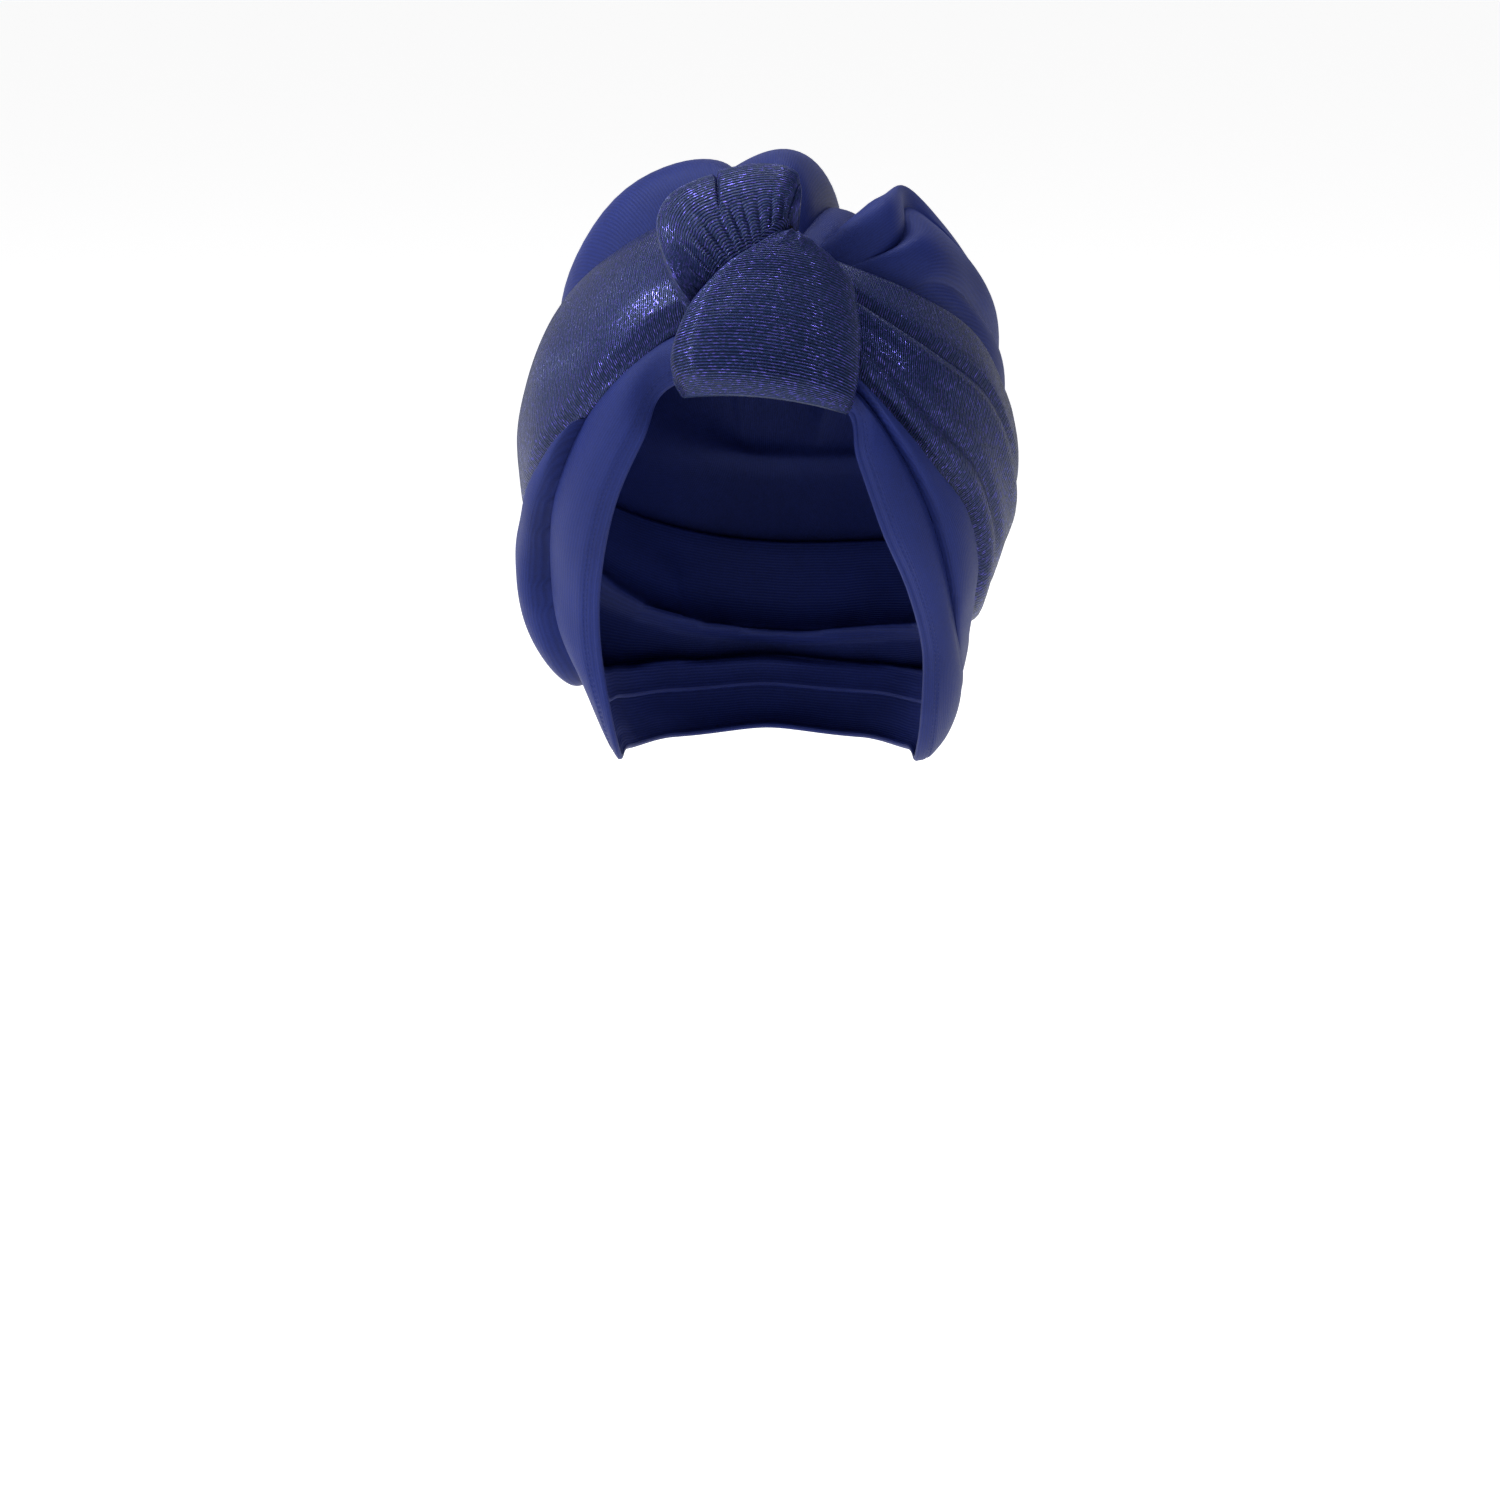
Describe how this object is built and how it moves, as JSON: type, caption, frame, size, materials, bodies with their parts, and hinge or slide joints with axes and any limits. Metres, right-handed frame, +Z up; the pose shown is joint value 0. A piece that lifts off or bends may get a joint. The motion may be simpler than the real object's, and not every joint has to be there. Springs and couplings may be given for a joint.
{
  "type": "turban headwrap",
  "caption": "Pre-tied turban: a puffed knit cap with a soft face band, a ribbed metallic wrap round it and a large folded knot over the forehead.",
  "frame": {"origin": "top of the head inside the crown, where the cap rests on the head", "axes": "+Z up out of the head, -Y out of the face opening, +X to the right of someone who looks at the face"},
  "size_m": [0.2108, 0.2284, 0.2609],
  "materials": {
    "scuba_knit": "smooth royal blue scuba knit, soft satin",
    "ribbed_lame": "dark navy ribbed metallic knit with blue violet glints"
  },
  "bodies": {
    "root": {"crown_cap": "scuba_knit", "side_cap": "scuba_knit", "face_band": "scuba_knit", "wrap_band": "ribbed_lame", "knot_loop": "ribbed_lame", "knot_fold": "ribbed_lame"}
  },
  "joints": []
}
